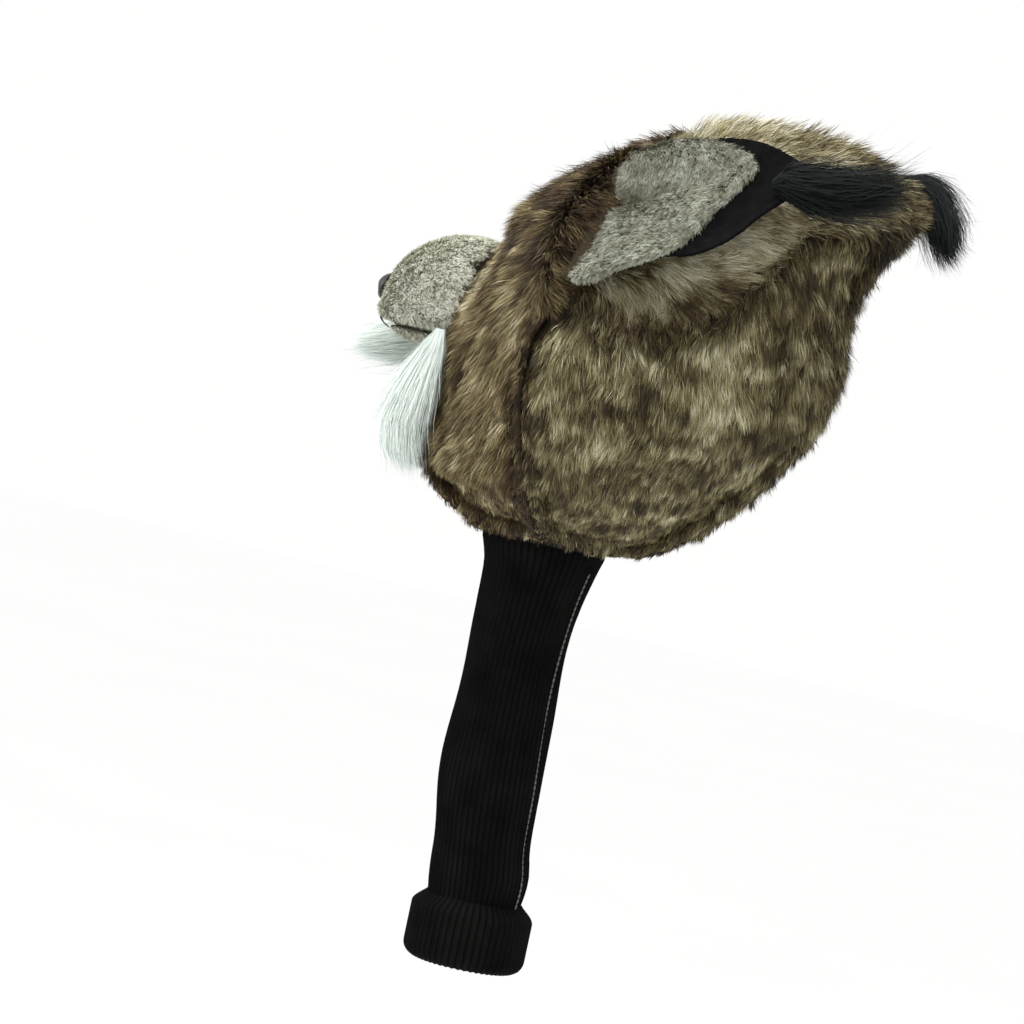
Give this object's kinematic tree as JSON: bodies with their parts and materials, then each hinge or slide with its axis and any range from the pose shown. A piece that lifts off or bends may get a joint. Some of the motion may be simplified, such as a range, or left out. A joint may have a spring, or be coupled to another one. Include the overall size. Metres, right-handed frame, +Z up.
{
  "type": "driver head cover",
  "caption": "Plush wildcat head over a lined pocket for a driver, ears laid back, on a long rib-knit sock with a rolled cuff.",
  "frame": {"origin": "centre of the elastic ring that closes round the club's neck, where the sock hangs from the head", "axes": "+Z up along the sock, -Y the way the face looks, +X the animal's left"},
  "size_m": [0.2024, 0.2932, 0.414],
  "materials": {
    "fur": "long-pile fake fur",
    "grey_plush": "short-pile plush",
    "black_felt": "felt",
    "black_hair": "long fake hair",
    "white_hair": "long fake hair",
    "wadding": "polyester wadding",
    "lining": "smooth woven lining",
    "binding": "woven tape",
    "elastic": "covered elastic",
    "rib_knit": "rib knit",
    "seam_thread": "thread",
    "black_thread": "thread",
    "nose_leather": "soft leathercloth",
    "washer_plastic": "moulded",
    "eye_plastic": "gloss"
  },
  "bodies": {
    "head": {"cheek_tuft_left": "white_hair", "cheek_tuft_right": "white_hair", "eye_left": "eye_plastic", "eye_right": "eye_plastic", "eye_washer_left": "washer_plastic", "eye_washer_right": "washer_plastic", "fur_back_left": "fur", "fur_back_right": "fur", "fur_crown_left": "fur", "fur_crown_right": "fur", "fur_face_left": "fur", "fur_face_right": "fur", "fur_throat": "fur", "mouth_stitching": "black_thread", "muzzle_bridge": "grey_plush", "muzzle_chin": "grey_plush", "muzzle_filling": "wadding", "muzzle_left": "grey_plush", "muzzle_right": "grey_plush", "neck_binding": "binding", "neck_elastic": "elastic", "nose": "nose_leather", "pocket_funnel": "lining", "pocket_lining_left": "lining", "pocket_lining_right": "lining", "wadding_left": "wadding", "wadding_right": "wadding"},
    "sock": {"cuff_elastic": "elastic", "cuff_roll": "rib_knit", "sock_seam": "seam_thread", "sock_tube": "rib_knit"},
    "left_ear": {"ear_felt_left": "black_felt", "ear_plush_left": "grey_plush", "ear_roll_left": "black_felt", "ear_tuft_left": "black_hair"},
    "right_ear": {"ear_felt_right": "black_felt", "ear_plush_right": "grey_plush", "ear_roll_right": "black_felt", "ear_tuft_right": "black_hair"}
  },
  "joints": [
    {"name": "sock_swing", "type": "hinge", "parent": "head", "child": "sock", "pos_m": [0, 0, 0], "axis": [1, 0, 0], "range_deg": [-20, 20]},
    {"name": "left_ear_flop", "type": "hinge", "parent": "head", "child": "left_ear", "pos_m": [0.07257, 0.01753, 0.14892], "axis": [0.4353, -0.0827, -0.8965], "range_deg": [-4, 40], "stiffness_Nm_per_rad": 0.2},
    {"name": "right_ear_flop", "type": "hinge", "parent": "head", "child": "right_ear", "pos_m": [-0.07257, 0.01753, 0.14892], "axis": [0.4353, 0.0827, 0.8965], "range_deg": [-4, 40], "stiffness_Nm_per_rad": 0.2}
  ]
}
